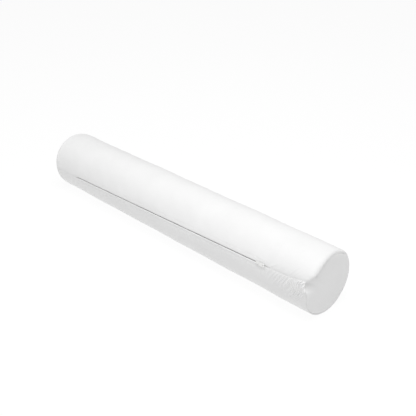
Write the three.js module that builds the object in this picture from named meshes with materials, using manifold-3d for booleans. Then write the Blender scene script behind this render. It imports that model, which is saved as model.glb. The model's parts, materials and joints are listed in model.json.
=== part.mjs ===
// A foam roller: a round foam core in a zip-off fabric cover, lying on the floor with its axis along X.
// Millimetres, +Z up. X runs along the roller, and the zip is on the -Y side.
import * as THREE from "three";
import { mergeVertices } from "three/addons/utils/BufferGeometryUtils.js";
import Module from "manifold-3d";

const wasm = await Module();
wasm.setup();

// Driving sizes
const LENGTH = 914.4; // 36 in
const RADIUS = 76.2; // 6 in across
const FLOOR_SAG = 1.1; // how far the foam is pressed flat where it lies
const GAP = 0.3; // between pieces that touch
const CLOTH = 1.5; // thickness of the cover
const RIM = 12; // rounding of the sleeve where it turns over the ends
const ALLOWANCE = 2; // thickness of the seam folded inside each end
const ALLOWANCE_WIDTH = 10;

// The zip line is a straight chord along the top of a low ridge. Angles are round the axis, 90 at the top
// and 180 on the -Y side, so the line climbs a little from the far end to the near one.
const ZIP_FAR = { x: -335, angle: 179 };
const ZIP_NEAR = { x: 320, angle: 163 };
const SEAM_CLIMB = 3.1e-4; // extra climb of the plain seam past the zip, in degrees per mm squared
const PLACKET_FAR_X = -349; // ends of the two placket lips
const PLACKET_NEAR_X = 346;
const SLIDER_X = 318; // the middle of the slider with the zip closed

const RIDGE = 1.8; // the zip and its seams hold the cover this far off the foam's round

// Across the zip: distances from the zip line, and heights over the chord
const LIP_SLOT = 1.5; // from the line to each lip's fold
const LIP_EDGE = 8;
const LIP_PROUD = 1; // lips stand this high over the ridge
const LIP_UNDER = 0.4; // and reach this far below it
const TAPE_EDGE = 12.5;
const TAPE_THICK = 0.5;
const COIL_WIDTH = 2.4;
const COIL_THICK = 1.5;
const CHANNEL_WIDTH = 3.3; // from the line to the inside of each slider flange
const PLATE = 0.9; // thickness of the slider's plates
const SLIDER_TOP = -1.6;
const SLIDER_LENGTH = 12;
const SLIDER_HALF = 4.3;
const BAIL_THICK = 1.4;
const TAB_LENGTH = 22;
const TAB_WIDTH = 8;
const TAB_THICK = 1.2;
const STITCH = 0.5;
const SEAM_HALF = 1.7; // half width of the plain seam

const SEGMENTS = 72;
const STATIONS = 24;

// Derived levels and places
const axisZ = RADIUS - FLOOR_SAG;
const half = LENGTH / 2;
const panelRadius = RADIUS - RIM - GAP;
const channelTop = SLIDER_TOP - PLATE;
const coilTop = channelTop - GAP;
const coilBottom = coilTop - COIL_THICK;
const tapeTop = coilBottom - GAP;
const tapeBottom = tapeTop - TAPE_THICK;
const sliderBottom = tapeBottom - GAP - PLATE;
const coilInner = GAP / 2 + 0.05;
const tapeInner = 1; // the coils overhang the edges of the tapes
const grooveDepth = 2.1 - sliderBottom - RIDGE;
const bailInner = 2.7; // half the space between the feet of the bail
const bailFoot = 1.6;
const barHeight = 2.5; // the pull tab turns about this height
const barRadius = 0.7;
const bailUnder = barHeight + barRadius + GAP - 0.1;
const bailTop = bailUnder + 1.2;
const stopLength = 2.2;
const tabTipX = SLIDER_X + TAB_LENGTH;

const materials = {
  cover: new THREE.MeshStandardMaterial({ color: 0xf1f0ec, roughness: 0.9 }),
  foam: new THREE.MeshStandardMaterial({ color: 0xefe9d8, roughness: 0.95 }),
  tape: new THREE.MeshStandardMaterial({ color: 0xe9e8e4, roughness: 0.85 }),
  coil: new THREE.MeshStandardMaterial({ color: 0xe6e6e2, roughness: 0.5 }),
  thread: new THREE.MeshStandardMaterial({ color: 0xecebe6, roughness: 0.7 }),
  slider: new THREE.MeshStandardMaterial({ color: 0xf2f2ef, roughness: 0.35 }),
};

// ---------- solids ----------

function toManifold(geometry) {
  let bare = geometry.clone();
  bare.deleteAttribute("normal");
  bare.deleteAttribute("uv");
  bare = mergeVertices(bare, 1e-4);
  return new wasm.Manifold(
    new wasm.Mesh({
      numProp: 3,
      vertProperties: new Float32Array(bare.attributes.position.array),
      triVerts: new Uint32Array(bare.index.array),
    }),
  );
}

function fromManifold(solid) {
  const mesh = solid.getMesh();
  const geometry = new THREE.BufferGeometry();
  geometry.setAttribute("position", new THREE.BufferAttribute(mesh.vertProperties, 3));
  geometry.setIndex(new THREE.BufferAttribute(mesh.triVerts, 1));
  geometry.computeVertexNormals();
  return geometry;
}

function box(x0, x1, y0, y1, z0, z1) {
  const geometry = new THREE.BoxGeometry(x1 - x0, y1 - y0, z1 - z0);
  geometry.translate((x0 + x1) / 2, (y0 + y1) / 2, (z0 + z1) / 2);
  return toManifold(geometry);
}

// A solid of revolution about the roller's axis, from a closed profile of [x, radius] points.
function turned(profile) {
  const points = profile.map(([x, radius]) => new THREE.Vector2(radius, x));
  const geometry = new THREE.LatheGeometry(points, SEGMENTS);
  geometry.rotateZ(-Math.PI / 2); // the axis from Y to X
  geometry.rotateX(Math.PI / SEGMENTS); // a facet, not an edge, at the bottom
  geometry.translate(0, 0, axisZ);
  return outwards(toIndexed(geometry));
}

function toIndexed(geometry) {
  geometry.deleteAttribute("normal");
  geometry.deleteAttribute("uv");
  return mergeVertices(geometry, 1e-4);
}

// Turns the faces of a closed geometry outwards and drops any that have no area.
function outwards(geometry) {
  const position = geometry.attributes.position;
  const corner = (i) => new THREE.Vector3().fromBufferAttribute(position, i);
  const kept = [];
  let volume = 0;
  const index = geometry.index.array;
  for (let i = 0; i < index.length; i += 3) {
    const [a, b, c] = [index[i], index[i + 1], index[i + 2]];
    if (a === b || b === c || c === a) continue;
    kept.push(a, b, c);
    volume += corner(a).dot(corner(b).cross(corner(c)));
  }
  if (volume < 0) kept.reverse();
  geometry.setIndex(kept);
  return toManifold(geometry);
}

// A slab between two sheets of points, each with rows along it and columns across it.
function slab(rows, columns, upper, lower) {
  const vertices = [];
  for (const sheet of [upper, lower]) {
    for (let i = 0; i <= rows; i += 1) {
      for (let j = 0; j <= columns; j += 1) {
        vertices.push(...sheet(i / rows, j / columns).toArray());
      }
    }
  }
  const perSheet = (rows + 1) * (columns + 1);
  const at = (sheet, i, j) => sheet * perSheet + i * (columns + 1) + j;
  const faces = [];
  const quad = (a, b, c, d) => faces.push(a, b, c, a, c, d);
  for (let i = 0; i < rows; i += 1) {
    for (let j = 0; j < columns; j += 1) {
      quad(at(0, i, j), at(0, i + 1, j), at(0, i + 1, j + 1), at(0, i, j + 1));
      quad(at(1, i, j), at(1, i, j + 1), at(1, i + 1, j + 1), at(1, i + 1, j));
    }
    quad(at(0, i + 1, 0), at(0, i, 0), at(1, i, 0), at(1, i + 1, 0));
    quad(at(0, i, columns), at(0, i + 1, columns), at(1, i + 1, columns), at(1, i, columns));
  }
  for (let j = 0; j < columns; j += 1) {
    quad(at(0, 0, j), at(0, 0, j + 1), at(1, 0, j + 1), at(1, 0, j));
    quad(at(0, rows, j + 1), at(0, rows, j), at(1, rows, j), at(1, rows, j + 1));
  }
  const geometry = new THREE.BufferGeometry();
  geometry.setAttribute("position", new THREE.Float32BufferAttribute(vertices, 3));
  geometry.setIndex(faces);
  return outwards(geometry);
}

// ---------- the zip line ----------

function ridgePoint({ x, angle }) {
  const turn = THREE.MathUtils.degToRad(angle);
  const radius = RADIUS + RIDGE;
  return new THREE.Vector3(x, radius * Math.cos(turn), axisZ + radius * Math.sin(turn));
}

const chordFar = ridgePoint(ZIP_FAR);
const chordNear = ridgePoint(ZIP_NEAR);
const along = chordNear.clone().sub(chordFar).normalize();
const middleTurn = THREE.MathUtils.degToRad((ZIP_FAR.angle + ZIP_NEAR.angle) / 2);
const outward = new THREE.Vector3(0, Math.cos(middleTurn), Math.sin(middleTurn));
outward.addScaledVector(along, -outward.dot(along)).normalize();
const upward = outward.clone().cross(along).normalize();

function chordAt(x) {
  const share = (x - chordFar.x) / (chordNear.x - chordFar.x);
  return chordFar.clone().lerp(chordNear, share);
}

// The angle of the seam round the axis: over the chord along the zip, then climbing to the near rim.
function seamTurn(x) {
  const { y, z } = chordAt(x);
  const past = Math.max(0, x - PLACKET_NEAR_X);
  return Math.atan2(z - axisZ, y) - THREE.MathUtils.degToRad(SEAM_CLIMB * past * past);
}

// A point on the cover: across the seam (up is positive) and out from the surface.
function onCover(x, across, out) {
  const turn = seamTurn(x) - across / RADIUS;
  const radius = RADIUS + out;
  return new THREE.Vector3(x, radius * Math.cos(turn), axisZ + radius * Math.sin(turn));
}

// A point by the straight zip: across it and out from it, both square to the chord.
function byChord(x, across, out) {
  return chordAt(x).addScaledVector(upward, across).addScaledVector(outward, out);
}

function mix(from, to, share) {
  return from + (to - from) * share;
}

// A strip that follows the cover between two places along it.
function coverStrip(x0, x1, across0, across1, low, high, columns = 2) {
  const sheet = (out) => (i, j) => onCover(mix(x0, x1, i), mix(across0, across1, j), out);
  const rows = Math.max(2, Math.round((STATIONS * (x1 - x0)) / LENGTH));
  return slab(rows, columns, sheet(high), sheet(low));
}

// Geometry drawn about the slider's middle, as (along, across, out), is moved to the closed slider.
const sliderFrame = new THREE.Matrix4()
  .makeBasis(along, upward, outward)
  .setPosition(chordAt(SLIDER_X));

function atSlider(solid) {
  return fromManifold(solid).applyMatrix4(sliderFrame);
}

// ---------- foam and cover ----------

function aboveFloor(solid, height) {
  return solid.intersect(box(-half - 1, half + 1, -RADIUS - 1, RADIUS + 1, height, 3 * RADIUS));
}

function rimArc(end, radius, from, to) {
  const steps = 6;
  const points = [];
  for (let i = 0; i <= steps; i += 1) {
    const turn = (mix(from, to, i / steps) * Math.PI) / 2;
    points.push([
      end * (half - RIM + radius * Math.sin(turn)),
      RADIUS - RIM + radius * Math.cos(turn),
    ]);
  }
  return points;
}

function foamCore() {
  const endX = half - CLOTH - GAP;
  const shoulderX = endX - ALLOWANCE - GAP;
  const hub = panelRadius - ALLOWANCE_WIDTH - 2 * GAP;
  const corner = RIM - CLOTH - GAP;
  const rise = shoulderX - (half - RIM); // where the rounded corner meets the shoulder
  const drop = Math.sqrt(corner * corner - rise * rise);
  const nearHalf = [
    ...rimArc(1, corner, 0, 1).filter(([x]) => x < shoulderX - GAP),
    [shoulderX, RADIUS - RIM + drop],
    [shoulderX, hub],
    [endX, hub],
    [endX, 0],
  ];
  const farHalf = nearHalf.map(([x, r]) => [-x, r]).reverse();
  const blank = aboveFloor(turned([...farHalf, ...nearHalf]), CLOTH + GAP);
  const zipX0 = PLACKET_FAR_X - 2;
  const zipX1 = PLACKET_NEAR_X + 2;
  const zipRoom = coverStrip(zipX0, zipX1, -TAPE_EDGE - 1, TAPE_EDGE + 1, -grooveDepth, 3, 6);
  const seamRoom = coverStrip(-half - 2, half + 2, -SEAM_HALF - 1, SEAM_HALF + 1, -3.8, 3);
  return blank.subtract(zipRoom).subtract(seamRoom);
}

function sleevePanel() {
  const outside = [...rimArc(-1, RIM, 1, 0), ...rimArc(1, RIM, 0, 1)];
  const inside = [...rimArc(1, RIM - CLOTH, 1, 0), ...rimArc(-1, RIM - CLOTH, 0, 1)];
  const outer = aboveFloor(turned([[-half, 0], ...outside, [half, 0]]), 0);
  const inner = turned([[-half + CLOTH, 0], ...inside.reverse(), [half - CLOTH, 0]]);
  const mouth = turned([[-half - 1, 0], [-half - 1, RADIUS - RIM], [half + 1, RADIUS - RIM], [half + 1, 0]]);
  const shell = outer.subtract(aboveFloor(inner, CLOTH)).subtract(mouth);
  const edge = LIP_EDGE + GAP;
  const placket = coverStrip(PLACKET_FAR_X - GAP, PLACKET_NEAR_X + GAP, -edge, edge, -4, 3, 4);
  const seam = coverStrip(-half - 2, half + 2, -SEAM_HALF - GAP, SEAM_HALF + GAP, -9, 3);
  return shell.subtract(placket).subtract(seam);
}

function endPanel(end) {
  const inner = half - CLOTH;
  const bevel = 0.4;
  const profile = [
    [end * inner, 0],
    [end * inner, panelRadius],
    [end * (half - bevel), panelRadius],
    [end * half, panelRadius - bevel],
    [end * half, 0],
  ];
  return turned(end > 0 ? profile : profile.reverse());
}

// The two turned-in edges of sleeve and end panel, sewn together and pressed flat inside the end.
function endAllowance(end) {
  const outerX = half - CLOTH - GAP;
  const innerX = outerX - ALLOWANCE;
  const outerRadius = panelRadius - GAP;
  const innerRadius = panelRadius - ALLOWANCE_WIDTH;
  const profile = [
    [end * innerX, innerRadius],
    [end * innerX, outerRadius],
    [end * outerX, outerRadius],
    [end * outerX, innerRadius],
    [end * innerX, innerRadius],
  ];
  return turned(profile);
}

// ---------- placket and plain seam ----------

// One folded edge of the cover beside the zip. It climbs the ridge and is thickest along its fold.
function lip(side) {
  const across = (j) => side * mix(LIP_SLOT, LIP_EDGE, j);
  const climb = (j) => RIDGE * (1 - j);
  const arch = (j) => RIDGE * (1 - Math.max(0, j - 0.6) / 0.4); // room for the slider underneath
  const crown = (j) => climb(j) + mix(LIP_PROUD, 0.2, j * j);
  const place = (i) => mix(PLACKET_FAR_X, PLACKET_NEAR_X, i);
  const upper = (i, j) => onCover(place(i), across(j), crown(j));
  const lower = (i, j) => onCover(place(i), across(j), arch(j) - LIP_UNDER);
  return slab(STATIONS, 3, upper, lower);
}

function topstitch(side) {
  const across = side * (LIP_EDGE + 1.3);
  const ends = [PLACKET_FAR_X + 2, PLACKET_NEAR_X - 2];
  return coverStrip(...ends, across - STITCH / 2, across + STITCH / 2, GAP, GAP + STITCH, 1);
}

function closingSeam(x0, x1) {
  return coverStrip(x0, x1, -SEAM_HALF, SEAM_HALF, -3.4, RIDGE / 2);
}

function barTack(x) {
  const low = RIDGE + LIP_PROUD + GAP;
  return coverStrip(x - 0.8, x + 0.8, -3, 3, low, low + STITCH);
}

// ---------- zip ----------

// A tape is flat beside the coil, where the slider runs, and lies under the cover at its outer edge.
function tape(side) {
  const x0 = PLACKET_FAR_X + 3;
  const x1 = PLACKET_NEAR_X - 3;
  const flatTo = SLIDER_HALF + 1;
  const sheet = (level, edgeLevel) => (i, j) => {
    const x = mix(x0, x1, i);
    if (j === 0) return byChord(x, side * tapeInner, level);
    if (j === 0.5) return byChord(x, side * flatTo, level);
    return onCover(x, side * TAPE_EDGE, edgeLevel);
  };
  const under = -CLOTH - 2 * GAP;
  return slab(STATIONS, 2, sheet(tapeTop, under), sheet(tapeBottom, under - TAPE_THICK));
}

// Half of the coil: straight along the closed zip, then spread round the wedge in the slider's nose.
function coil(side) {
  const wedgeX = SLIDER_X + 1;
  const spreadX = SLIDER_X + 2.4;
  const places = [ZIP_FAR.x, wedgeX, spreadX, SLIDER_X + SLIDER_LENGTH / 2 + 0.5];
  const spread = [0, 0, 0.75, 0.75];
  const across = (i, j) => side * (coilInner + spread[Math.round(i * 3)] + j * (COIL_WIDTH - 0.3));
  const sheet = (level) => (i, j) => byChord(places[Math.round(i * 3)], across(i, j), level);
  return slab(3, 1, sheet(coilTop), sheet(coilBottom));
}

function topStop(side) {
  const x0 = SLIDER_X + SLIDER_LENGTH / 2 + 0.5 + GAP;
  const sheet = (level) => (i, j) => byChord(x0 + i * stopLength, side * mix(0.8, 3, j), level);
  return slab(1, 1, sheet(coilTop + 0.1), sheet(coilBottom));
}

function bottomStop() {
  const x0 = ZIP_FAR.x - GAP - stopLength;
  const sheet = (level) => (i, j) => byChord(x0 + i * stopLength, mix(-3, 3, j), level);
  return slab(1, 1, sheet(coilTop + 0.1), sheet(coilBottom));
}

// The outline of a slider plate: narrow at the tail, wide at the nose, with rounded corners.
function plateOutline(inset) {
  const nose = SLIDER_LENGTH / 2 - inset;
  const wide = SLIDER_HALF - inset;
  const narrow = SLIDER_HALF - 0.5 - inset;
  const corner = 1.4;
  const shape = new THREE.Shape();
  shape.moveTo(-nose, -narrow + corner);
  shape.quadraticCurveTo(-nose, -narrow, -nose + corner, -narrow);
  shape.lineTo(nose - corner, -wide);
  shape.quadraticCurveTo(nose, -wide, nose, -wide + corner);
  shape.lineTo(nose, wide - corner);
  shape.quadraticCurveTo(nose, wide, nose - corner, wide);
  shape.lineTo(-nose + corner, narrow);
  shape.quadraticCurveTo(-nose, narrow, -nose, narrow - corner);
  shape.closePath();
  return shape;
}

function sliderPlate(bottom) {
  const bevel = 0.25;
  const geometry = new THREE.ExtrudeGeometry(plateOutline(bevel), {
    depth: PLATE - 2 * bevel,
    bevelThickness: bevel,
    bevelSize: bevel,
    bevelSegments: 1,
    curveSegments: 3,
  });
  geometry.translate(0, 0, bottom + bevel);
  return toManifold(geometry);
}

// The bail is an arch along the zip, over the bar of the pull tab.
function bail() {
  const outer = bailInner + bailFoot;
  const round = 1.6;
  const base = SLIDER_TOP - 0.2;
  const shape = new THREE.Shape();
  shape.moveTo(-outer, base);
  shape.lineTo(-outer, bailTop - round);
  shape.quadraticCurveTo(-outer, bailTop, -outer + round, bailTop);
  shape.lineTo(outer - round, bailTop);
  shape.quadraticCurveTo(outer, bailTop, outer, bailTop - round);
  shape.lineTo(outer, base);
  shape.lineTo(bailInner, base);
  shape.lineTo(bailInner, bailUnder);
  shape.lineTo(-bailInner, bailUnder);
  shape.lineTo(-bailInner, base);
  shape.closePath();
  const bevel = 0.2;
  const geometry = new THREE.ExtrudeGeometry(shape, {
    depth: BAIL_THICK - 2 * bevel,
    bevelThickness: bevel,
    bevelSize: bevel,
    bevelOffset: -bevel,
    bevelSegments: 1,
    curveSegments: 3,
  });
  geometry.rotateX(Math.PI / 2); // drawn in (along, out), now standing on the plate
  geometry.translate(0, BAIL_THICK / 2 - bevel, 0);
  return toManifold(geometry);
}

function sliderBody() {
  let solid = sliderPlate(SLIDER_TOP - PLATE).add(sliderPlate(sliderBottom));
  const reach = SLIDER_LENGTH / 2 - 1.5;
  const flangeLow = tapeTop + 0.4;
  for (const side of [-1, 1]) {
    const edges = [side * CHANNEL_WIDTH, side * (SLIDER_HALF - 0.55)].sort((a, b) => a - b);
    solid = solid.add(box(-reach, reach, ...edges, flangeLow, channelTop + 0.1));
  }
  const wedge = box(2.9, SLIDER_LENGTH / 2 - 0.6, -0.6, 0.6, sliderBottom + 0.1, channelTop + 0.1);
  return solid.add(wedge).add(bail());
}

// The pull tab lies along the zip past the slider's nose. Its bar runs under the bail.
function pullTab() {
  const halfWidth = TAB_WIDTH / 2;
  const neck = 2.9; // half width at the bar
  const eyeLength = 5.6;
  const eyeHalf = BAIL_THICK / 2 + 0.6;
  const bevel = 0.2;
  const tip = TAB_LENGTH - bevel;
  const shape = new THREE.Shape();
  shape.moveTo(0, -neck);
  shape.lineTo(eyeLength, -neck);
  shape.quadraticCurveTo(eyeLength + 1.5, -halfWidth, eyeLength + 4, -halfWidth);
  shape.lineTo(tip - halfWidth, -halfWidth);
  shape.absarc(tip - halfWidth, 0, halfWidth, -Math.PI / 2, Math.PI / 2, false);
  shape.lineTo(eyeLength + 4, halfWidth);
  shape.quadraticCurveTo(eyeLength + 1.5, halfWidth, eyeLength, neck);
  shape.lineTo(0, neck);
  shape.closePath();
  const eye = new THREE.Path();
  eye.moveTo(barRadius, -eyeHalf);
  eye.lineTo(barRadius, eyeHalf);
  eye.lineTo(eyeLength, eyeHalf);
  eye.lineTo(eyeLength, -eyeHalf);
  eye.closePath();
  const hole = new THREE.Path();
  hole.absarc(tip - halfWidth, 0, halfWidth * 0.45, 0, 2 * Math.PI, true);
  shape.holes.push(eye, hole);
  const geometry = new THREE.ExtrudeGeometry(shape, {
    depth: TAB_THICK - 2 * bevel,
    bevelThickness: bevel,
    bevelSize: bevel,
    bevelOffset: -bevel,
    bevelSegments: 1,
    curveSegments: 6,
  });
  geometry.translate(0, 0, barHeight - TAB_THICK / 2 + bevel);
  const bar = new THREE.CylinderGeometry(barRadius, barRadius, 2 * neck - 0.4, 16);
  bar.translate(0, 0, barHeight); // a cylinder stands along Y, which is across the zip
  return toManifold(geometry).add(toManifold(bar));
}

// ---------- the assembly ----------

const roller = new THREE.Group();
roller.name = "foam_roller";

function place(name, geometry, material) {
  const mesh = new THREE.Mesh(geometry, material);
  mesh.name = name;
  roller.add(mesh);
}

place("foam_core", fromManifold(foamCore()), materials.foam);
place("sleeve_panel", fromManifold(sleevePanel()), materials.cover);

for (const [name, end] of [["near", 1], ["far", -1]]) {
  place(`${name}_end_panel`, fromManifold(endPanel(end)), materials.cover);
  place(`${name}_end_allowance`, fromManifold(endAllowance(end)), materials.cover);
}

for (const [name, side] of [["upper", 1], ["lower", -1]]) {
  place(`${name}_lip`, fromManifold(lip(side)), materials.cover);
  place(`${name}_topstitch`, fromManifold(topstitch(side)), materials.thread);
  place(`${name}_tape`, fromManifold(tape(side)), materials.tape);
  place(`${name}_coil`, fromManifold(coil(side)), materials.coil);
  place(`${name}_top_stop`, fromManifold(topStop(side)), materials.slider);
}

const seamNearX = PLACKET_NEAR_X + GAP;
const seamFarX = PLACKET_FAR_X - GAP;
const seamEnd = half - RIM;
place("near_closing_seam", fromManifold(closingSeam(seamNearX, seamEnd)), materials.cover);
place("far_closing_seam", fromManifold(closingSeam(-seamEnd, seamFarX)), materials.cover);
place("near_bar_tack", fromManifold(barTack(tabTipX + 2.5)), materials.thread);
place("far_bar_tack", fromManifold(barTack(ZIP_FAR.x - 7)), materials.thread);
place("bottom_stop", fromManifold(bottomStop()), materials.slider);
place("slider_body", atSlider(sliderBody()), materials.slider);
place("pull_tab", atSlider(pullTab()), materials.slider);

export default roller;
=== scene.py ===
"""A white foam roller in a zip-off fabric cover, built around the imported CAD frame.

Shapes are worked out in millimetres, by distance along the roller, angle round its axis and height over
the cover, and become metres when a mesh is made. Angles are 90 degrees at the top and 180 on the -Y side.
"""

import json
import math

import bpy
import numpy as np
from mathutils import Matrix, Vector


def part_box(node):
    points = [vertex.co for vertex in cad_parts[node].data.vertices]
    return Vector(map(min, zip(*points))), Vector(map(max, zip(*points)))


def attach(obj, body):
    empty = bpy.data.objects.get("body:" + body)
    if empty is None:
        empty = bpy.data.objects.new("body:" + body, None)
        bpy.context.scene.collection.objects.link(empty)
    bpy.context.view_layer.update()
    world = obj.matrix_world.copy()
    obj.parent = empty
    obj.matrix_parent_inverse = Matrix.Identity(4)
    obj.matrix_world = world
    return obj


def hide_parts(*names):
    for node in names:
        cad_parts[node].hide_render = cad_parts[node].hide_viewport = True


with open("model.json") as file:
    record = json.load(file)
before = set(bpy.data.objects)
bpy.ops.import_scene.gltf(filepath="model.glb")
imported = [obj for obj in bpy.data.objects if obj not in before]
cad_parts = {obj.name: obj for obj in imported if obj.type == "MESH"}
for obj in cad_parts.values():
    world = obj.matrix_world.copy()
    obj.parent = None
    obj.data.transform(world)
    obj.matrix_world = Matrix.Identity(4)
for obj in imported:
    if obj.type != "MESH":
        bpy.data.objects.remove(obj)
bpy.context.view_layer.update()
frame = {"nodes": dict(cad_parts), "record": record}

# ---------- sizes, in millimetres ----------

MM = 0.001
RADIUS = 76.2
RIM = 13.0  # rounding of the cover over the foam's edge
RIDGE = 1.8  # the zip and its seams hold the cloth this far off the foam's round
RIDGE_WIDTH = 15.0
FOLD = 0.8  # half thickness of a folded edge
SLOT = 0.6  # half the gap between the placket's lips; the bail, 0.7 to each side, presses into them
STITCH_IN = 8.6  # from the fold to the row of stitches
SEAM_CLIMB = 3.1e-4  # degrees per mm squared, as the plain seam climbs past the zip
PIVOT_HEIGHT = 2.5  # the pull tab's pivot over the zip's chord
LIP_RISE = 0.8  # the lower lip rolls up this far, low enough for the pull tab to pass over it
LIP_DIP = 0.7  # the upper lip dips this far
TUCK = 3.0  # how deep the end seams are turned in
TURNED_IN = (0.35, 0.8, 1.6, TUCK)  # steps down a turned-in edge
COIL_LEVEL = -3.55  # the middle of the coil, out from the zip's chord
TAPE_LEVEL = -4.6
TAPE_THICK = 0.45
TAPE_WIDTH = 12.5

record = frame["record"]
mounts = {m["name"]: m for m in record["mounts"]}
joints = {j["name"]: j for j in record["behaviour"]["joints"]}


def low_high(node):
    """A node's lowest and highest corners, in millimetres."""
    return [np.array(corner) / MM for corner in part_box(node)]


HALF, _, AXIS_Z = np.array(mounts["near_end_face"]["pos_m"]) / MM
PLACKET_NEAR = low_high("near_closing_seam")[0][0]
PLACKET_FAR = low_high("far_closing_seam")[1][0]
ALONG = np.array(joints["zip_slide"]["axis"])
UPWARD = -np.array(joints["pull_flip"]["axis"])
OUTWARD = np.cross(ALONG, UPWARD)
SLIDER = np.array(joints["pull_flip"]["pos_m"]) / MM - PIVOT_HEIGHT * OUTWARD

# ---------- small helpers ----------


def smoothstep(low, high, value):
    """0 up to low, 1 from high on, and a smooth rise between."""
    share = np.clip((value - low) / (high - low), 0, 1)
    return share * share * (3 - 2 * share)


def bump(value, centre, width):
    """A round bump of height 1."""
    return np.exp(-(((value - centre) / width) ** 2))


def turn_gap(turn, centre):
    """Signed difference between two angles in degrees, from -180 to 180."""
    return (turn - centre + 180) % 360 - 180


class Waves:
    """A smooth random field over (along, across), made of sine waves."""

    def __init__(self, seed, lengths_x, lengths_s, count=9):
        rng = np.random.default_rng(seed)
        self.kx = 2 * np.pi / rng.uniform(*lengths_x, count) * rng.choice([-1, 1], count)
        self.ks = 2 * np.pi / rng.uniform(*lengths_s, count)
        self.phase = rng.uniform(0, 2 * np.pi, count)
        self.scale = 1 / math.sqrt(count)

    def __call__(self, x, s):
        total = 0
        for kx, ks, phase in zip(self.kx, self.ks, self.phase):
            total = total + np.sin(kx * x + ks * s + phase)
        return total * self.scale


# ---------- the cover's surface ----------


def seam_turn(x):
    """Angle of the zip and its plain seams round the axis, in degrees."""
    share = (x - SLIDER[0]) / ALONG[0]
    y = SLIDER[1] + share * ALONG[1]
    z = SLIDER[2] + share * ALONG[2] - AXIS_Z
    past = np.maximum(0, x - PLACKET_NEAR)
    return np.degrees(np.arctan2(z, y)) % 360 - SEAM_CLIMB * past * past


def end_seam(turn, end):
    """Where the end seam lies: how far back from the end face, and how far in from the side.

    The far one is pulled round onto the side. The near one lies on the face above the lengthwise seam,
    and is pulled back to the side beside it.
    """
    if end < 0:
        return 10 + 8 * bump(turn_gap(turn, 185), 0, 40), np.full_like(turn, 0.5)
    on_face = smoothstep(35, 62, turn) * (1 - smoothstep(131, 153, turn))
    back = 2.5 - 2 * on_face + 11 * bump(turn_gap(turn, 161), 0, 11)
    under = smoothstep(196, 245, turn) + (1 - smoothstep(20, 60, turn))
    return back, 0.5 + 8 * on_face + 3 * np.minimum(1, under)


def end_crease(turn, end):
    """How deep the cloth is drawn in along the end seam."""
    if end < 0:
        return np.full_like(turn, 1.0)
    below = smoothstep(196, 225, turn) * (1 - smoothstep(300, 330, turn))
    return 1 + 5 * bump(turn, 187, 9) + 1.5 * below


def crease_gap(turn, end):
    """Half the opening between the sleeve and the end panel, in the deep crease of the near end."""
    return 0.65 * bump(turn, 188, 8) if end > 0 else 0 * turn


def end_groove(back, turn, end):
    """Height lost beside an end seam, back being the distance from it."""
    crease = end_crease(turn, end)
    return crease * np.exp(-back / (1.4 + 0.05 * crease))


def corner_dent(back, turn):
    """Hollow in the near end panel, where the lengthwise seam pulls on its edge."""
    return 1.2 * bump(turn, 162, 8) * bump(back, 6, 7)


def bevel_depth(turn, end):
    """How far in from the side the end becomes flat."""
    if end < 0:
        return np.full_like(turn, RIM - 4)
    return RIM + 9 * np.where(turn < 160, bump(turn, 160, 13), bump(turn, 160, 22))


def curve(start, corner, finish, share):
    """Point and outward direction on a curve that leaves start and reaches finish aimed at the corner."""
    left = 1 - share
    places = list(zip(start, corner, finish))
    point = [a * left**2 + 2 * b * share * left + c * share**2 for a, b, c in places]
    slope = [(b - a) * left + (c - b) * share for a, b, c in places]
    size = np.maximum(np.hypot(*slope), 1e-9)
    return point[0], point[1], -slope[1] / size, slope[0] / size


def apart(first, second):
    return np.hypot(second[0] - first[0], second[1] - first[1])


def curve_length(start, corner, finish):
    """Near enough the length of a curve: halfway between its chord and its two straight sides."""
    sides = apart(start, corner) + apart(corner, finish)
    return (sides + apart(start, finish)) / 2


def rim_curves(turn, end):
    """The sleeve's part of the rim and the end panel's part, each as start, corner and finish.

    Each point is a distance out along the axis and a distance from the axis.
    """
    back, inset = end_seam(turn, end)
    depth = np.maximum(bevel_depth(turn, end), inset + 0.5)
    seam = (HALF - back, RADIUS - inset)
    side = np.full_like(turn, RADIUS)
    sleeve = ((HALF - back - inset - 1, side), (HALF - back, side), seam)
    corner_share, in_share = (0.65, 0.5) if end > 0 else (0.02, 0.02)
    belly = (HALF - corner_share * back, RADIUS - inset - in_share * (depth - inset))
    flat = (HALF - left_to_rise(back, end), RADIUS - depth)
    return sleeve, (seam, belly, flat)


def left_to_rise(back, end):
    """How far the end's bevel still is from the flat where its curve finishes."""
    return 0.3 * back if end > 0 else 0 * back


def meridian(distance, turn, end):
    """Place on the rounded end, by distance along the cover from the middle of the roller.

    Returns how far out along the axis, how far from the axis, and the outward direction of each.
    """
    sleeve, panel = rim_curves(turn, end)
    first, second = curve_length(*sleeve), curve_length(*panel)
    straight = sleeve[0][0]
    past_seam = distance - straight - first
    on_sleeve = curve(*sleeve, np.clip((distance - straight) / first, 0, 1))
    on_panel = curve(*panel, np.clip(past_seam / second, 0, 1))
    out, radius, lean_out, lean_up = (np.where(past_seam > 0, b, a) for a, b in zip(on_sleeve, on_panel))
    past_bevel = np.maximum(0, past_seam - second)
    back, _ = end_seam(turn, end)
    rise = left_to_rise(back, end) * (1 - np.exp(-past_bevel / (0.43 * bevel_depth(turn, end))))
    out = out - np.maximum(0, straight - distance) + rise
    radius = radius - past_bevel
    # by the seam both sheets turn in along the same line
    sleeve_end, panel_start = curve(*sleeve, 0.6), curve(*panel, 0.2)
    share = np.exp(-np.abs(past_seam) / 2.5)
    lean_out = lean_out * (1 - share) + 0.5 * share * (sleeve_end[2] + panel_start[2])
    lean_up = lean_up * (1 - share) + 0.5 * share * (sleeve_end[3] + panel_start[3])
    size = np.hypot(lean_out, lean_up)
    return out, radius, lean_out / size, lean_up / size


def seam_distance(turn, end):
    """Distance along the cover from the middle to the end seam."""
    sleeve, _ = rim_curves(turn, end)
    return sleeve[0][0] + curve_length(*sleeve)


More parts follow.
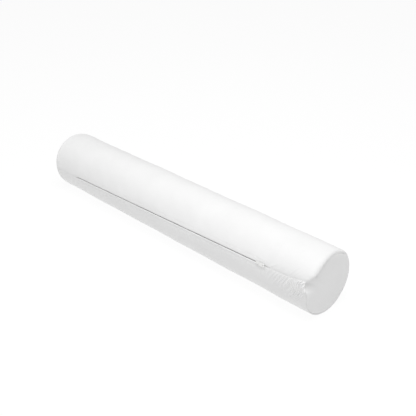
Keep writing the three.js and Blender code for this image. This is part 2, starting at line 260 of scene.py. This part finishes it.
def middle_distance(turn, end):
    """Distance along the cover from the middle of the roller to the middle of its end."""
    _, panel = rim_curves(turn, end)
    return seam_distance(turn, end) + curve_length(*panel) + panel[2][1]


def to_space(out, radius, turn, end):
    """Points in the shared frame, resting on the floor where the roller is pressed flat."""
    softness = 0.35  # of the bend where the cloth leaves the floor, in mm squared
    angle = np.radians(turn)
    z = AXIS_Z + radius * np.sin(angle)
    z = 0.5 * (z + np.sqrt(z * z + softness))
    return np.stack([end * out, radius * np.cos(angle), z], axis=-1)


def on_cover(distance, turn, height, end):
    """Points at a height over the cover, by distance along it from the middle of the roller."""
    out, radius, lean_out, lean_up = meridian(distance, turn, end)
    return to_space(out + lean_out * height, radius + lean_up * height, turn, end)


# ---------- wrinkles ----------

slack = Waves(3, (140, 420), (90, 300))
small_slack = Waves(5, (28, 90), (30, 110))
stitch_ripple = Waves(8, (7.5, 13), (60, 160), 6)
ripple_size = Waves(9, (30, 120), (200, 400), 5)


def folds_at_near_seam():
    """Gathers below the plain seam, longer, deeper and closer towards the near rim."""
    rng = np.random.default_rng(21)
    folds = []
    x = PLACKET_NEAR - 2
    while x < HALF + 22:
        near = min(1, (x - PLACKET_NEAR + 2) / (HALF - PLACKET_NEAR))
        step = 10.5 - 3.0 * near
        folds.append(
            {
                "x": x + rng.uniform(-0.8, 0.8),
                "s": -0.5 - rng.uniform(0, 2),
                "length": -(18 + 34 * near + rng.uniform(-4, 6)),
                "lean": 0.5 + 0.2 * near + rng.uniform(-0.08, 0.08),
                "width": 0.3 * step,
                "height": (1.0 + 2.0 * near) * rng.uniform(0.75, 1.15),
            }
        )
        x += step * rng.uniform(0.88, 1.12)
    return folds


def folds_above_near_seam():
    """Faint slanted folds on the upper side, by the near rim."""
    rng = np.random.default_rng(22)
    folds = []
    places = ((352, 1.3), (371, 1.1), (392, 1.0), (407, 0.9), (420, 0.8), (432, 0.6), (442, 0.4))
    for x, lean in places:
        folds.append(
            {
                "x": x + rng.uniform(-2, 2),
                "s": rng.uniform(1, 3),
                "length": rng.uniform(16, 34),
                "lean": lean * rng.uniform(0.7, 1.1),
                "width": rng.uniform(3.2, 5),
                "height": rng.uniform(0.25, 0.6),
            }
        )
    return folds


def folds_at_far_end():
    """Short faint folds below the plain seam at the far end."""
    rng = np.random.default_rng(23)
    folds = []
    for k in range(7):
        folds.append(
            {
                "x": -HALF + 16 + 9.5 * k + rng.uniform(-2, 2),
                "s": -1,
                "length": -rng.uniform(14, 26),
                "lean": -rng.uniform(0.3, 0.6),
                "width": rng.uniform(2.8, 3.8),
                "height": rng.uniform(0.3, 0.6) * (1 - 0.08 * k),
            }
        )
    return folds


def folds_below_zip():
    """Small slanted puckers where the lower lip's stitches draw the cloth."""
    rng = np.random.default_rng(24)
    folds = []
    for start, finish, lean in ((-285, -150, 1.1), (20, 115, 0.25), (235, 300, 0.4)):
        for x in np.arange(start, finish, 15):
            folds.append(
                {
                    "x": x + rng.uniform(-5, 5),
                    "s": -rng.uniform(7, 11),
                    "length": -rng.uniform(12, 26),
                    "lean": lean * rng.uniform(0.7, 1.2),
                    "width": rng.uniform(2.4, 3.6),
                    "height": rng.uniform(0.3, 0.75),
                }
            )
    return folds


def tucks_round(seed):
    """Small easing tucks where the sleeve is gathered round an end seam."""
    rng = np.random.default_rng(seed)
    turns = np.cumsum(rng.uniform(6, 14, 40))
    tucks = []
    for turn in turns[turns < 360]:
        height, width, length = rng.uniform(0.1, 0.45), rng.uniform(1.6, 3.0), rng.uniform(8, 20)
        tucks.append((turn, height, width, length))
    return tucks


seam_folds = folds_at_near_seam() + folds_above_near_seam() + folds_at_far_end() + folds_below_zip()
rim_tucks = {1: tucks_round(31), -1: tucks_round(32)}


def fold_height(x, s):
    """Height of the folds and puckers together."""
    total = np.zeros_like(x)
    for fold in seam_folds:
        share = (s - fold["s"]) / fold["length"]
        inside = np.clip(share, 0, 1)
        window = np.sin(np.pi * inside**0.6) ** 0.8 * ((share > 0) & (share < 1))
        across = x - fold["x"] - fold["lean"] * (s - fold["s"])
        total += fold["height"] * window * np.exp(-((across / fold["width"]) ** 2))
    return total


def tuck_height(end, turn, back):
    """Height of the tucks beside an end seam, back being the distance from it."""
    total = np.zeros_like(turn)
    for at, height, width, length in rim_tucks[end]:
        arc = np.radians(turn_gap(turn, at)) * RADIUS
        total -= height * np.exp(-((arc / width) ** 2)) * np.exp(-((back / length) ** 2))
    return total


def in_placket(x):
    """1 along the placket, falling to 0 at its two ends."""
    past_far = smoothstep(PLACKET_FAR - 4, PLACKET_FAR + 8, x)
    past_near = smoothstep(PLACKET_NEAR - 8, PLACKET_NEAR + 4, x)
    return past_far * (1 - past_near)


def lip_gap(x):
    """Half the gap between the folded edges: the same all along, as the slider can stop anywhere."""
    return in_placket(x) * SLOT


def cover_height(x, turn, s):
    """Height of the cloth over its smooth surface. s is the distance up from the seam line."""
    below = s < 0
    away = np.abs(s)
    placket = in_placket(x)
    loose = 1 - placket * bump(away, 0, 14)  # the zip's tapes hold the cloth level beside it
    height = loose * (0.5 * slack(x, turn * 1.33) + 0.16 * small_slack(x, turn * 1.33))
    # the cloth stands off along the zip, and more so along the plain seam at the near end
    near_seam = smoothstep(PLACKET_NEAR - 20, PLACKET_NEAR + 20, x)
    ridge = RIDGE + 1.5 * near_seam
    width_above = (1.3 + 2 * near_seam) * RIDGE_WIDTH
    height += ridge * np.where(below, np.exp(-away / RIDGE_WIDTH), bump(away, 0, width_above))
    pillow = (away / 35) * np.exp(1 - away / 35) * (1 - smoothstep(55, 95, away))
    height += np.where(below, 0, 3 * near_seam * pillow)
    # the lips, then the groove of their stitches or of the plain seam
    lip = np.where(below, LIP_RISE, -LIP_DIP) * (1 + 0.3 * ripple_size(x, 0))
    height += placket * lip * np.where(below, bump(away, 2.7, 2.1), np.exp(-away / 3.5))
    height -= placket * 0.3 * bump(away, STITCH_IN + SLOT, 1.3)
    height -= (1 - placket) * 0.25 * np.exp(-away / 1.2)
    # stitches pucker the cloth beside them
    ripple = np.where(below, 0.28, 0.07) * (1 + 0.5 * ripple_size(x, 40))
    height += placket * ripple * stitch_ripple(x, s) * np.exp(-((away - 8) / 13) ** 2)
    return height + fold_height(x, s)


# ---------- meshes ----------


def make_piece(name, points, faces, material, uv=None, smooth=True):
    """An object from points in millimetres, with an optional flat layout of the cloth in millimetres."""
    mesh = bpy.data.meshes.new(name)
    corners = faces if isinstance(faces, list) else faces.tolist()
    mesh.from_pydata(np.asarray(points).reshape(-1, 3) * MM, [], corners)
    if uv is not None:
        layer = mesh.uv_layers.new(name="cloth")
        corner = np.zeros(len(mesh.loops), np.int32)
        mesh.loops.foreach_get("vertex_index", corner)
        layer.data.foreach_set("uv", (np.asarray(uv).reshape(-1, 2)[corner] * MM).ravel())
    mesh.polygons.foreach_set("use_smooth", np.full(len(mesh.polygons), smooth))
    mesh.materials.append(material)
    mesh.update()
    made = bpy.data.objects.new(name, mesh)
    bpy.context.scene.collection.objects.link(made)
    return made


def grid_faces(rows, columns, wrap=False, flip=False):
    """Quads of a grid of points, optionally joined round from the last column to the first."""
    across = columns if wrap else columns - 1
    i, j = np.meshgrid(np.arange(rows - 1), np.arange(across), indexing="ij")
    k = (j + 1) % columns
    quads = [i * columns + j, (i + 1) * columns + j, (i + 1) * columns + k, i * columns + k]
    return np.stack(quads[::-1] if flip else quads, axis=-1).reshape(-1, 4)


def spaced(stops):
    """Values from (start, step) stops up to the last stop, whose step isn't used."""
    values = []
    for (start, step), (end, _) in zip(stops, stops[1:]):
        count = max(1, round((end - start) / step))
        values.extend(np.linspace(start, end, count, endpoint=False))
    values.append(stops[-1][0])
    return np.array(values)


def sleeve_columns():
    """Across the sleeve from one folded edge round to the other.

    Returns distances from the fold (below the seam, then above it) and the depths of the folded edge.
    """
    bend = np.radians(np.linspace(-90, 90, 7))
    turned_under = [(t, -2 * FOLD) for t in (6.5, 3.5, 1.7)]
    round_edge = np.stack([FOLD * (1 - np.cos(bend)), FOLD * (np.sin(bend) - 1)], axis=-1)
    fold = np.vstack([turned_under, round_edge])
    ring = 2 * np.pi * RADIUS
    below_seam = ((1.6, 0.9), (14, 1.1), (48, 1.6), (60, 4))
    above_seam = ((ring - 60, 1.6), (ring - 48, 1.1), (ring - 14, 0.9), (ring - 1.6, 1))
    return fold, spaced(below_seam + above_seam), ring


def cover_sleeve(material):
    """The sleeve, one sheet whose folded edges meet over the zip and whose ends are turned in."""
    fold, middle, ring = sleeve_columns()
    from_fold = np.concatenate([fold[:, 0], middle, ring - fold[::-1, 0]])
    depth = np.concatenate([fold[:, 1], np.zeros(len(middle)), fold[::-1, 1]])
    along = spaced(((0, 2.0), (PLACKET_NEAR - 20, 1.0), (HALF, 0.5), (HALF + 8, 1)))
    sheets = []
    for end in (-1, 1):
        base = np.concatenate([along, np.full(len(TURNED_IN), along[-1])])
        sink = np.concatenate([np.zeros(len(along)), TURNED_IN])
        base, column = np.meshgrid(base, np.arange(len(from_fold)), indexing="ij")
        sink = np.broadcast_to(sink[:, None], base.shape)
        t, folded = from_fold[column], depth[column]
        below = column < len(from_fold) // 2
        x = end * base
        gap = lip_gap(x)
        s = np.where(below, -(t + gap), ring - t + gap)
        turn = (seam_turn(x) - np.degrees(s / RADIUS)) % 360
        limit = seam_distance(turn, end) - crease_gap(turn, end)
        nominal = along[-1]
        stretch = smoothstep(nominal - 70, nominal, base)
        distance = base + (limit - nominal) * stretch
        back = limit - distance
        height = cover_height(x, turn, s) + folded * (0.3 + 0.7 * in_placket(x))
        height += tuck_height(end, turn, back) - end_groove(back, turn, end) - sink
        rows = on_cover(distance, turn, height, end)
        flat = np.stack([end * distance, s], axis=-1)
        sheets.append((rows, flat))
    (far, far_flat), (near, near_flat) = sheets
    points = np.concatenate([far[:0:-1], near])
    uv = np.concatenate([far_flat[:0:-1], near_flat])
    faces = grid_faces(*points.shape[:2], flip=True)
    return make_piece("cover_sleeve", points, faces, material, uv)


def end_panel(end, material):
    """A round end panel, from its turned-in edge over the rim to its middle."""
    name = "near" if end > 0 else "far"
    turns = np.linspace(0, 360, 360, endpoint=False)
    from_seam = spaced(((0, 0.5), (8, 1.2), (30, 3.5), (79, 1)))
    sink = np.concatenate([TURNED_IN[::-1], np.zeros(len(from_seam))])
    from_seam = np.concatenate([np.zeros(len(TURNED_IN)), from_seam])
    back, turn = np.meshgrid(from_seam, turns, indexing="ij")
    start = seam_distance(turn, end) + crease_gap(turn, end)
    reach = middle_distance(turn, end) - 0.6 - start
    distance = start + 1e-6 + back / from_seam[-1] * reach
    out, radius, lean_out, lean_up = meridian(distance, turn, end)
    waves = Waves(40 + end, (60, 160), (60, 160), 7)
    y, z = radius * np.cos(np.radians(turn)), radius * np.sin(np.radians(turn))
    crown = 1.3 * (1 - (radius / RADIUS) ** 2)
    height = crown + 0.22 * waves(y, z) * smoothstep(2, 14, back)
    if end > 0:
        height -= corner_dent(back, turn)
    height += 0.6 * tuck_height(end, turn, back) - end_groove(back, turn, end) - sink[:, None]
    points = to_space(out + lean_out * height, radius + lean_up * height, turn, end).reshape(-1, 3)
    rows, columns = back.shape
    faces = grid_faces(rows, columns, wrap=True, flip=end > 0)
    ring = (rows - 1) * columns + np.arange(columns)
    if end < 0:
        ring = ring[::-1]
    centre = points[ring].mean(axis=0)
    points = np.vstack([points, centre])
    uv = np.vstack([np.stack([y, z], axis=-1).reshape(-1, 2), [0, 0]])
    cap = [[a, b, len(points) - 1] for a, b in zip(ring, np.roll(ring, -1))]  # same way round as the quads
    return make_piece(f"cover_{name}_end", points, faces.tolist() + cap, material, uv)


# ---------- under the cover ----------


def by_chord(x, across, out):
    """Points beside the straight zip, across it and out from it."""
    x, across, out = np.broadcast_arrays(x, across, out)
    base = SLIDER + ((x - SLIDER[0]) / ALONG[0])[..., None] * ALONG
    return base + across[..., None] * UPWARD + out[..., None] * OUTWARD


def foam_core(material):
    """The foam, under the cover all over: dented along the zip, flat where it rests, drawn in at its ends."""
    under = 2.4  # cloth and air between the foam and the outside of the cover
    turns = np.linspace(0, 360, 240, endpoint=False)
    side = spaced(((0, 7), (HALF - 40, 1.5), (HALF + RIM, 8), (HALF + RADIUS - 6, 1)))
    pores = Waves(60, (9, 22), (9, 22), 8)
    halves = []
    for end in (-1, 1):
        distance, turn = np.meshgrid(side, turns, indexing="ij")
        past_seam = distance - seam_distance(turn, end)
        s = np.radians(turn_gap(turn, seam_turn(end * distance))) * RADIUS
        inside_rim = 1 - smoothstep(-16, -6, past_seam)
        height = -under - inside_rim * (1.5 + 5.5 * in_placket(end * distance)) * bump(s, 0, 13)
        height -= 2 * smoothstep(-4, 0, past_seam) * (1 - smoothstep(12, 18, past_seam))
        height -= (TUCK + end_crease(turn, end)) * bump(past_seam, 0, 5)
        if end > 0:
            height -= corner_dent(past_seam, turn)
        height += 0.06 * pores(distance, turn)
        halves.append(on_cover(distance, turn, height, end))
    far, near = halves
    points = np.concatenate([far[:0:-1], near])
    points[..., 2] = np.maximum(points[..., 2], under)
    rows, columns = points.shape[:2]
    faces = grid_faces(rows, columns, wrap=True, flip=True).tolist()
    faces.append(list(range(columns))[::-1])
    faces.append(list(range((rows - 1) * columns, rows * columns)))
    return make_piece("foam", points, faces, material)


def allowance(end, material):
    """The turned-in cloth edges behind an end seam, gathered a little as they lie."""
    name = "near" if end > 0 else "far"
    width = 10.0
    turns = np.linspace(0, 360, 240, endpoint=False)
    ruffle = Waves(70 + end, (20, 45), (20, 45), 6)
    rings = []
    for share, depth in ((0, 1.1), (0.5, 1.1), (1, 1.2), (1, 2.0), (0.5, 2.2), (0, 2.0)):
        past = 3 + width * share + 0.4 * ruffle(turns * 1.1, 30) * share
        lift = 0.12 * ruffle(turns * 1.1, 0) - 0.5 * end_crease(turns, end) * (1 - share)
        if end > 0:
            lift = lift - corner_dent(past, turns)
        rings.append(on_cover(seam_distance(turns, end) + past, turns, lift - depth, end))
    points = np.array(rings + rings[:1])
    rows, columns = points.shape[:2]
    faces = grid_faces(rows, columns, wrap=True, flip=end > 0) % ((rows - 1) * columns)
    return make_piece(f"{name}_allowance", points[:-1], faces, material)


def tube(name, path, radius, sides, material, across=None, closed_ends=True):
    """A round or oval strand along a path of points."""
    path = np.asarray(path)
    tangent = np.gradient(path, axis=0)
    tangent /= np.linalg.norm(tangent, axis=1, keepdims=True)
    guide = np.broadcast_to(OUTWARD if across is None else across, path.shape)
    side = np.cross(tangent, guide)
    side /= np.linalg.norm(side, axis=1, keepdims=True)
    top = np.cross(side, tangent)
    angles = np.linspace(0, 2 * np.pi, sides, endpoint=False)
    ring = np.cos(angles)[None, :, None] * side[:, None] + np.sin(angles)[None, :, None] * top[:, None]
    points = path[:, None] + np.asarray(radius).reshape(-1, 1, 1) * ring
    faces = grid_faces(len(path), sides, wrap=True).tolist()
    if closed_ends:
        faces.append(list(range(sides))[::-1])
        faces.append(list(range((len(path) - 1) * sides, len(path) * sides)))
    return make_piece(name, points, faces, material)


def zip_coil(name, side, material):
    """One half of the coil: a strand wound along the zip, its loops set between the other half's."""
    pitch = 1.4
    steps = 10
    low, high = low_high(name)
    start_x, end_x = low[0], high[0]
    turns = (end_x - start_x) / pitch
    angle = np.linspace(0, 2 * np.pi * turns, int(turns * steps))
    x = start_x + pitch * angle / (2 * np.pi) + (pitch / 2 if side < 0 else 0)
    spread = 0.95 * smoothstep(SLIDER[0] + 1, SLIDER[0] + 3, x)
    across = side * (1.3 + 1.25 * np.cos(angle) + spread)
    out = COIL_LEVEL + 0.5 * np.sin(angle)
    return tube(f"{name}_wound", by_chord(x, across, out), 0.34, 6, material)


def zip_tape(name, side, material):
    """The woven tape behind one half of the coil."""
    low, high = low_high(name)
    x = np.linspace(low[0], high[0], 200)
    flat_to = 5.3  # beyond this the tape bends to follow the cover
    top, under = [], []
    for edge, rise in ((1.0, 0), (3.0, 0), (flat_to, 0), (9.0, 0.855), (TAPE_WIDTH, 2.185)):
        twist = edge / TAPE_WIDTH
        flat = by_chord(x, side * edge, TAPE_LEVEL + rise)
        curved_turn = seam_turn(x) - np.degrees(side * edge / RADIUS)
        curved = to_space(x, RADIUS - 2.1 - 2.3 * (1 - twist), curved_turn, 1)
        share = smoothstep(flat_to, TAPE_WIDTH, edge)
        place = flat * (1 - share) + curved * share
        top.append(place)
        under.append(place - TAPE_THICK * OUTWARD)
    loop = np.array(top + under[::-1])
    count = len(x)
    points = loop.transpose(1, 0, 2)
    faces = grid_faces(count, len(loop), wrap=True, flip=side < 0).tolist()
    faces.append(list(range(len(loop))))
    faces.append(list(range((count - 1) * len(loop), count * len(loop)))[::-1])
    uv = np.stack(np.meshgrid(x, np.arange(len(loop)) * 2.5, indexing="ij"), axis=-1)
    return make_piece(f"{name}_woven", points, faces, material, uv, smooth=False)


# ---------- stitches ----------


def stitch_row(name, places, material, radius=0.24):
    """A lockstitch row. Each stitch is a short strand that sinks into the cloth at both ends."""
    sides = 6
    # along the stitch, out from the cloth, and thickness
    shape = ((0, -0.25, 0.55), (0.2, 0.05, 1), (0.5, 0.13, 1.1), (0.8, 0.05, 1), (1, -0.25, 0.55))
    angles = np.linspace(0, 2 * np.pi, sides, endpoint=False)
    points, faces = [], []
    for start, finish, outward in places:
        run = finish - start
        side = np.cross(run, outward)
        side /= np.linalg.norm(side)
        for share, lift, size in shape:
            middle = start + run * share + outward * lift
            ring = np.outer(np.cos(angles), side) + np.outer(np.sin(angles), outward)
            points.append(middle + radius * size * ring)
    for k in range(len(places)):
        strand = grid_faces(len(shape), sides, wrap=True) + k * len(shape) * sides
        faces.extend(strand.tolist())
    return make_piece(name, np.array(points), faces, material)


def cover_point(x, s):
    """A place on the sleeve's upper surface and its outward direction."""
    x = np.array([float(x)])
    turn = seam_turn(x) - np.degrees(s / RADIUS)
    height = cover_height(x, turn, np.array([float(s)]))
    point = to_space(x, RADIUS + height, turn, 1)[0]
    angle = math.radians(turn[0])
    return point, np.array([0, math.cos(angle), math.sin(angle)])


def topstitch(name, side, material):
    """Stitches along one lip of the placket, beside the fold."""
    rng = np.random.default_rng(80 + side)
    places = []
    x = PLACKET_FAR + 3
    while x < PLACKET_NEAR - 4:
        s = side * (SLOT + STITCH_IN + rng.uniform(-0.12, 0.12))
        start, outward = cover_point(x, s)
        finish, _ = cover_point(x + 2.5, s)
        places.append((start, finish, outward))
        x += 3.1 + rng.uniform(-0.1, 0.1)
    return stitch_row(f"{name}_thread", places, material)


def bar_tack(name, material):
    """A dense zigzag of thread over the end of the placket."""
    low, high = low_high(name)
    middle = (low[0] + high[0]) / 2
    places = []
    for k in range(14):
        s0 = -3.2 + 6.4 * k / 14
        lean = 0.9 if k % 2 else -0.9
        start, outward = cover_point(middle - lean, s0)
        finish, _ = cover_point(middle + lean, s0 + 0.45)
        lift = outward * 0.35
        places.append((start + lift, finish + lift, outward))
    return stitch_row(f"{name}_thread", places, material, radius=0.27)


# ---------- materials ----------


def new_material(name, roughness, **sockets):
    """A material and its Principled shader, with uniform values on the shader's own sockets."""
    made = bpy.data.materials.new(name)
    made.use_nodes = True
    shader = made.node_tree.nodes["Principled BSDF"]
    shader.inputs["Roughness"].default_value = roughness
    for socket, value in sockets.items():
        shader.inputs[socket.replace("_", " ")].default_value = value
    return made, shader


def link(tree, start, output, end, socket):
    tree.links.new(start.outputs[output], end.inputs[socket])


def noise(tree, source, output, scale, detail=3):
    node = tree.nodes.new("ShaderNodeTexNoise")
    node.inputs["Scale"].default_value = scale
    node.inputs["Detail"].default_value = detail
    link(tree, source, output, node, "Vector")
    return node


def tinted(tree, shader, source, output, colours, scale):
    """Base colour that drifts slightly between two tones."""
    drift = noise(tree, source, output, scale)
    ramp = tree.nodes.new("ShaderNodeValToRGB")
    ramp.color_ramp.elements[0].position = 0.3
    ramp.color_ramp.elements[1].position = 0.7
    for element, colour in zip(ramp.color_ramp.elements, colours):
        element.color = (*colour, 1)
    link(tree, drift, "Fac", ramp, "Fac")
    link(tree, ramp, "Color", shader, "Base Color")


def bumped(tree, shader, height, output, strength, distance, under=None):
    node = tree.nodes.new("ShaderNodeBump")
    node.inputs["Strength"].default_value = strength
    node.inputs["Distance"].default_value = distance
    link(tree, height, output, node, "Height")
    if under:
        link(tree, under, "Normal", node, "Normal")
    link(tree, node, "Normal", shader, "Normal")
    return node


def woven(name, colours, pitch, strength=0.35):
    """Plain-woven cloth. pitch is the distance between threads, in millimetres, on the flat layout."""
    made, shader = new_material(name, 0.88, Sheen_Weight=0.25, Sheen_Roughness=0.45, Specular_IOR_Level=0.25)
    tree = made.node_tree
    layout = tree.nodes.new("ShaderNodeUVMap")
    layout.uv_map = "cloth"
    place = tree.nodes.new("ShaderNodeTexCoord")
    threads = []
    for direction in ("X", "Y"):
        wave = tree.nodes.new("ShaderNodeTexWave")
        wave.bands_direction = direction
        wave.inputs["Scale"].default_value = 2 * math.pi / (20 * pitch * MM)
        wave.inputs["Distortion"].default_value = 1.2
        wave.inputs["Detail Scale"].default_value = 2.0
        link(tree, layout, "UV", wave, "Vector")
        threads.append(wave)
    weave = tree.nodes.new("ShaderNodeMath")
    weave.operation = "MULTIPLY"
    for index, wave in enumerate(threads):
        tree.links.new(wave.outputs["Fac"], weave.inputs[index])
    slub = noise(tree, place, "Object", 260)
    soft = bumped(tree, shader, slub, "Fac", 0.12, 0.0006)
    bumped(tree, shader, weave, "Value", strength, 0.00012, soft)
    tinted(tree, shader, place, "Object", colours, 14)
    return made


def foam_material():
    made, shader = new_material("open_cell_foam", 0.95, Specular_IOR_Level=0.1)
    tree = made.node_tree
    place = tree.nodes.new("ShaderNodeTexCoord")
    cells = tree.nodes.new("ShaderNodeTexVoronoi")
    cells.inputs["Scale"].default_value = 900
    link(tree, place, "Object", cells, "Vector")
    bumped(tree, shader, cells, "Distance", 0.6, 0.0006)
    tinted(tree, shader, place, "Object", ((0.84, 0.81, 0.7), (0.89, 0.87, 0.78)), 30)
    return made


def thread_material():
    made, shader = new_material("spun_thread", 0.6, Sheen_Weight=0.3, Specular_IOR_Level=0.35)
    tree = made.node_tree
    place = tree.nodes.new("ShaderNodeTexCoord")
    twist = tree.nodes.new("ShaderNodeTexWave")
    twist.bands_direction = "DIAGONAL"
    twist.inputs["Scale"].default_value = 900
    link(tree, place, "Object", twist, "Vector")
    bumped(tree, shader, twist, "Fac", 0.4, 0.00005)
    tinted(tree, shader, place, "Object", ((0.84, 0.84, 0.83), (0.88, 0.88, 0.87)), 80)
    return made


def nylon_material():
    made, shader = new_material("nylon_coil", 0.38, Specular_IOR_Level=0.45, Coat_Weight=0.1)
    tree = made.node_tree
    place = tree.nodes.new("ShaderNodeTexCoord")
    grain = noise(tree, place, "Object", 1500)
    bumped(tree, shader, grain, "Fac", 0.1, 0.00005)
    tinted(tree, shader, place, "Object", ((0.8, 0.8, 0.79), (0.86, 0.86, 0.85)), 120)
    return made


def enamel_material():
    """White enamel on cast metal, with slight orange peel."""
    made, shader = new_material("white_enamel", 0.3, Coat_Weight=0.35, Coat_Roughness=0.12)
    tree = made.node_tree
    place = tree.nodes.new("ShaderNodeTexCoord")
    peel = noise(tree, place, "Object", 1100, 2)
    bumped(tree, shader, peel, "Fac", 0.12, 0.00008)
    tinted(tree, shader, place, "Object", ((0.84, 0.84, 0.83), (0.88, 0.88, 0.87)), 90)
    return made


cover_cloth = woven("cover_cloth", ((0.80, 0.80, 0.80), (0.825, 0.825, 0.825)), 0.5)
tape_cloth = woven("tape_cloth", ((0.78, 0.78, 0.775), (0.82, 0.82, 0.815)), 0.35, 0.5)
foam = foam_material()
thread = thread_material()
nylon = nylon_material()
enamel = enamel_material()

# ---------- the pieces ----------


def add(piece, slot, *nodes):
    """Puts a piece on the roller's body, and hides the CAD nodes that it stands for."""
    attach(piece, "roller")
    if nodes:
        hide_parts(*nodes)
    return piece


sleeve = add(
    cover_sleeve(cover_cloth),
    "cover_fabric",
    "sleeve_panel",
    "upper_lip",
    "lower_lip",
    "near_closing_seam",
    "far_closing_seam",
)
for end, name in ((1, "near"), (-1, "far")):
    panel = add(end_panel(end, cover_cloth), "cover_fabric", f"{name}_end_panel")
    add(allowance(end, cover_cloth), "cover_fabric", f"{name}_end_allowance")
core = add(foam_core(foam), "foam", "foam_core")

for side, name in ((1, "upper"), (-1, "lower")):
    add(topstitch(f"{name}_topstitch", side, thread), "thread", f"{name}_topstitch")
    add(zip_coil(f"{name}_coil", side, nylon), "zip_coil", f"{name}_coil")
    add(zip_tape(f"{name}_tape", side, tape_cloth), "zip_tape", f"{name}_tape")
for name in ("near_bar_tack", "far_bar_tack"):
    add(bar_tack(name, thread), "thread", name)

for name in ("slider_body", "pull_tab", "upper_top_stop", "lower_top_stop", "bottom_stop"):
    node = frame["nodes"][name]
    for slot in node.material_slots:
        slot.material = enamel

# ---------- floor, light and camera ----------


def floor():
    reach = 9 / MM
    points = [(-reach, -reach, 0), (reach, -reach, 0), (reach, reach, 0), (-reach, reach, 0)]
    made, shader = new_material("pale_floor", 0.9, Specular_IOR_Level=0.1)
    shader.inputs["Base Color"].default_value = (0.1, 0.1, 0.1, 1)
    shader.inputs["Emission Color"].default_value = (1, 1, 1, 1)
    shader.inputs["Emission Strength"].default_value = 0.9
    return make_piece("floor", points, [[0, 1, 2, 3]], made, smooth=False)


def soft_light(name, place, aim, size, power):
    data = bpy.data.lights.new(name, "AREA")
    data.shape = "SQUARE"
    data.size = size
    data.energy = power
    made = bpy.data.objects.new(name, data)
    made.location = place
    made.rotation_mode = "QUATERNION"
    made.rotation_quaternion = (Vector(aim) - Vector(place)).to_track_quat("-Z", "Y")
    bpy.context.scene.collection.objects.link(made)


def ambient(strength):
    world = bpy.data.worlds.new("studio")
    world.use_nodes = True
    background = world.node_tree.nodes["Background"]
    background.inputs["Color"].default_value = (1, 1, 1, 1)
    background.inputs["Strength"].default_value = strength
    bpy.context.scene.world = world


def photo_camera():
    """The camera of the product picture: from the near end, on the zip's side, a little above."""
    azimuth, elevation = math.radians(45.16), math.radians(28.28)
    distance, right_shift, rise = 22.58 * RADIUS * MM, 0.853 * RADIUS * MM, 0.073 * RADIUS * MM
    back = Vector((
        math.sin(azimuth) * math.cos(elevation),
        -math.cos(azimuth) * math.cos(elevation),
        math.sin(elevation),
    ))
    right = Vector((math.cos(azimuth), math.sin(azimuth), 0))
    up = back.cross(right)
    data = bpy.data.cameras.new("camera")
    data.lens = 58.8
    data.sensor_width = 36
    made = bpy.data.objects.new("camera", data)
    made.location = Vector((0, 0, AXIS_Z * MM)) + back * distance + right * right_shift + up * rise
    made.rotation_mode = "QUATERNION"
    made.rotation_quaternion = Matrix((right, up, back)).transposed().to_quaternion()
    bpy.context.scene.collection.objects.link(made)
    bpy.context.scene.camera = made


floor()
ambient(0.45)
soft_light("overhead", (0.5, -0.45, 2.3), (0.05, 0, 0), 2.0, 47)
photo_camera()
bpy.context.scene.view_settings.view_transform = "Standard"
